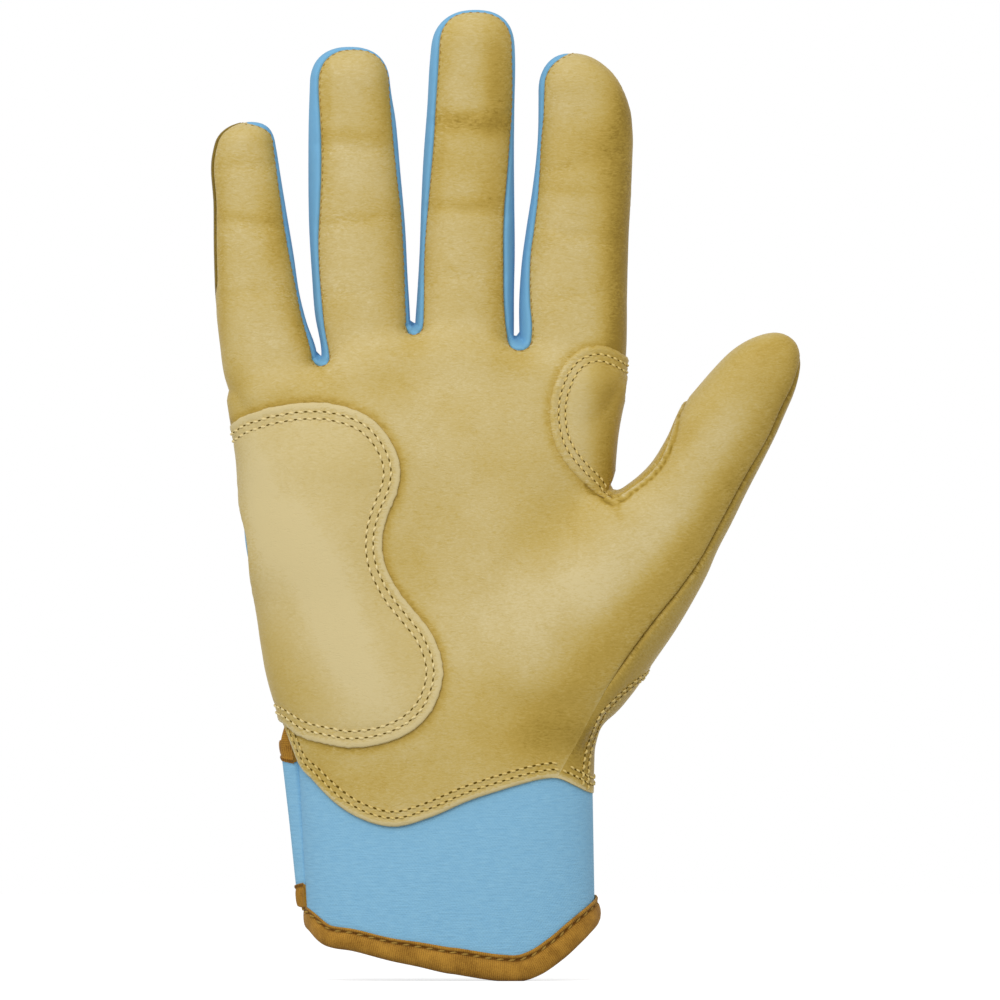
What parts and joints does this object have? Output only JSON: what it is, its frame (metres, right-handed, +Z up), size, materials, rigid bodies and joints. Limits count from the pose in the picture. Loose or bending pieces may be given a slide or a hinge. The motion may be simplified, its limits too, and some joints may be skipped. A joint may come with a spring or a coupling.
{
  "type": "batting glove",
  "caption": "Right-hand batting glove: leather palm with sewn overlays, knit fingers' sides and back, bound knit cuff, and a wrist strap that opens.",
  "frame": {"origin": "under the middle of the wrist opening, level with the lowest point of the hem", "axes": "+Z up to the fingertips, +X across the palm to the thumb, +Y out of the back of the hand; the palm faces -Y"},
  "size_m": [0.1478, 0.0418, 0.2421],
  "materials": {
    "tan_leather": "soft full-grain leather, low sheen",
    "pale_leather": "soft full-grain leather, low sheen",
    "olive_leather": "soft leather, darker dye",
    "blue_fabric": "fine stretch knit, matt",
    "blue_knit": "ribbed stretch knit over foam, matt",
    "brown_binding": "ribbed woven binding tape, matt",
    "dark_tape": "hook-and-loop tape, matt"
  },
  "bodies": {
    "glove": {"palm_leather": "tan_leather", "palm_pad": "pale_leather", "crotch_patch": "pale_leather", "thumb_back": "tan_leather", "thumb_gusset": "pale_leather", "little_side_strip": "olive_leather", "fourchette_little_ring": "blue_fabric", "fourchette_ring_middle": "blue_fabric", "fourchette_middle_index": "blue_fabric", "back_panel": "blue_fabric", "little_finger_back": "blue_fabric", "ring_finger_back": "blue_fabric", "middle_finger_back": "blue_fabric", "index_finger_back": "blue_fabric", "cuff": "blue_knit", "hem_binding": "brown_binding", "loop_tape": "dark_tape"},
    "strap": {"strap": "blue_knit", "strap_binding": "brown_binding", "hook_tape": "dark_tape"}
  },
  "joints": [
    {"name": "strap_open", "type": "hinge", "parent": "glove", "child": "strap", "pos_m": [-0.03901, -0.0059, 0.04], "axis": [-0.0536, 0, 0.9986], "range_deg": [0, 110]}
  ]
}
